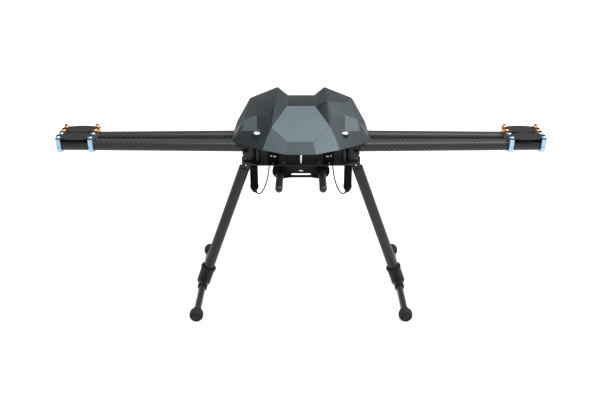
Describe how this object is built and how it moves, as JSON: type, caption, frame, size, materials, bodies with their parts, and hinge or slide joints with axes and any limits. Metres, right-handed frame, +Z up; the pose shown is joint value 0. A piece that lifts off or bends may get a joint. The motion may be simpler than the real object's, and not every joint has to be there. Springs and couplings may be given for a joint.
{
  "type": "multirotor drone frame",
  "caption": "Folding-arm multirotor airframe in its carry layout, with a faceted canopy, clamped motor mounts, retracting skid legs and payload rails with a battery tray.",
  "frame": {"origin": "on the floor under the middle of the hub", "axes": "+X to the right along the folded arms, +Y to the rear along the skids and payload rails, +Z up"},
  "size_m": [1.0664, 0.31, 0.4933],
  "materials": {
    "carbon": "woven carbon laminate under satin resin",
    "canopy_shell": "satin carbon-look skin",
    "black_metal": "black anodised",
    "black_plastic": "moulded glass-filled nylon",
    "blue_anodised": "blue anodised",
    "orange_anodised": "orange anodised",
    "silver_metal": "bright machined",
    "rubber": "matt moulded",
    "circuit_board": "solder-masked board",
    "cable": "soft insulation"
  },
  "bodies": {
    "hub": {"bottom_plate": "carbon", "top_plate": "carbon", "power_board": "circuit_board", "front_standoff": "silver_metal", "canopy_post_left": "black_metal", "canopy_post_right": "black_metal", "payload_rail_left": "carbon", "payload_rail_right": "carbon", "rail_hanger_front": "black_plastic", "rail_hanger_rear": "black_plastic", "arm_pivot_front_left": "black_metal", "arm_pivot_front_right": "black_metal", "arm_pivot_rear_left": "black_metal", "arm_pivot_rear_right": "black_metal", "retract_bracket_left": "black_metal", "retract_motor_left": "black_plastic", "retract_cable_left": "cable", "retract_bracket_right": "black_metal", "retract_motor_right": "black_plastic", "retract_cable_right": "cable"},
    "battery_tray": {"battery_tray": "carbon"},
    "arm_front_left": {"arm_root_front_left": "black_metal", "arm_tube_front_left": "carbon", "motor_plate_front_left": "carbon", "motor_clamp_inner_front_left": "blue_anodised", "motor_clamp_outer_front_left": "blue_anodised"},
    "lock_knob_front_left": {"arm_lock_knob_front_left": "black_metal"},
    "arm_front_right": {"arm_root_front_right": "black_metal", "arm_tube_front_right": "carbon", "motor_plate_front_right": "carbon", "motor_clamp_inner_front_right": "blue_anodised", "motor_clamp_outer_front_right": "blue_anodised"},
    "lock_knob_front_right": {"arm_lock_knob_front_right": "black_metal"},
    "arm_rear_left": {"arm_root_rear_left": "black_metal", "arm_tube_rear_left": "carbon", "motor_plate_rear_left": "carbon", "motor_clamp_inner_rear_left": "orange_anodised", "motor_clamp_outer_rear_left": "orange_anodised"},
    "lock_knob_rear_left": {"arm_lock_knob_rear_left": "black_metal"},
    "arm_rear_right": {"arm_root_rear_right": "black_metal", "arm_tube_rear_right": "carbon", "motor_plate_rear_right": "carbon", "motor_clamp_inner_rear_right": "orange_anodised", "motor_clamp_outer_rear_right": "orange_anodised"},
    "lock_knob_rear_right": {"arm_lock_knob_rear_right": "black_metal"},
    "leg_left": {"leg_socket_left": "black_metal", "leg_tube_left": "carbon", "leg_tee_left": "black_plastic", "skid_tube_left": "carbon", "skid_foot_front_left": "rubber", "skid_foot_rear_left": "rubber"},
    "leg_right": {"leg_socket_right": "black_metal", "leg_tube_right": "carbon", "leg_tee_right": "black_plastic", "skid_tube_right": "carbon", "skid_foot_front_right": "rubber", "skid_foot_rear_right": "rubber"},
    "canopy": {"canopy": "canopy_shell"},
    "thumb_nut_left": {"thumb_nut_left": "silver_metal"},
    "thumb_nut_right": {"thumb_nut_right": "silver_metal"}
  },
  "joints": [
    {"name": "battery_tray_slide", "type": "slide", "parent": "hub", "child": "battery_tray", "axis": [0, 1, 0], "range_m": [-0.015, 0.015]},
    {"name": "arm_fold_front_left", "type": "hinge", "parent": "hub", "child": "arm_front_left", "pos_m": [-0.11, -0.0296, 0.384], "axis": [0, 0, 1], "range_deg": [0, 46.23]},
    {"name": "lock_knob_turn_front_left", "type": "hinge", "parent": "arm_front_left", "child": "lock_knob_front_left", "pos_m": [-0.1225, -0.02933, 0.376], "axis": [-0.0215, -0.9998, 0], "continuous": true},
    {"name": "arm_fold_front_right", "type": "hinge", "parent": "hub", "child": "arm_front_right", "pos_m": [0.11, -0.0296, 0.384], "axis": [0, 0, -1], "range_deg": [0, 46.23]},
    {"name": "lock_knob_turn_front_right", "type": "hinge", "parent": "arm_front_right", "child": "lock_knob_front_right", "pos_m": [0.1225, -0.02933, 0.376], "axis": [0.0215, -0.9998, 0], "continuous": true},
    {"name": "arm_fold_rear_left", "type": "hinge", "parent": "hub", "child": "arm_rear_left", "pos_m": [-0.11, 0.0296, 0.384], "axis": [0, 0, -1], "range_deg": [0, 46.23]},
    {"name": "lock_knob_turn_rear_left", "type": "hinge", "parent": "arm_rear_left", "child": "lock_knob_rear_left", "pos_m": [-0.1225, 0.02933, 0.376], "axis": [-0.0215, 0.9998, 0], "continuous": true},
    {"name": "arm_fold_rear_right", "type": "hinge", "parent": "hub", "child": "arm_rear_right", "pos_m": [0.11, 0.0296, 0.384], "axis": [0, 0, 1], "range_deg": [0, 46.23]},
    {"name": "lock_knob_turn_rear_right", "type": "hinge", "parent": "arm_rear_right", "child": "lock_knob_rear_right", "pos_m": [0.1225, 0.02933, 0.376], "axis": [0.0215, 0.9998, 0], "continuous": true},
    {"name": "leg_retract_left", "type": "hinge", "parent": "hub", "child": "leg_left", "pos_m": [-0.1229, 0, 0.33362], "axis": [0, 1, 0], "range_deg": [0, 70]},
    {"name": "leg_retract_right", "type": "hinge", "parent": "hub", "child": "leg_right", "pos_m": [0.1229, 0, 0.33362], "axis": [0, -1, 0], "range_deg": [0, 70]},
    {"name": "canopy_lift", "type": "slide", "parent": "hub", "child": "canopy", "axis": [0, 0, 1], "range_m": [0, 0.12]},
    {"name": "thumb_nut_turn_left", "type": "hinge", "parent": "canopy", "child": "thumb_nut_left", "pos_m": [-0.094, -0.05, 0.422], "axis": [0, 0, 1], "continuous": true},
    {"name": "thumb_nut_turn_right", "type": "hinge", "parent": "canopy", "child": "thumb_nut_right", "pos_m": [0.094, -0.05, 0.422], "axis": [0, 0, 1], "continuous": true}
  ]
}
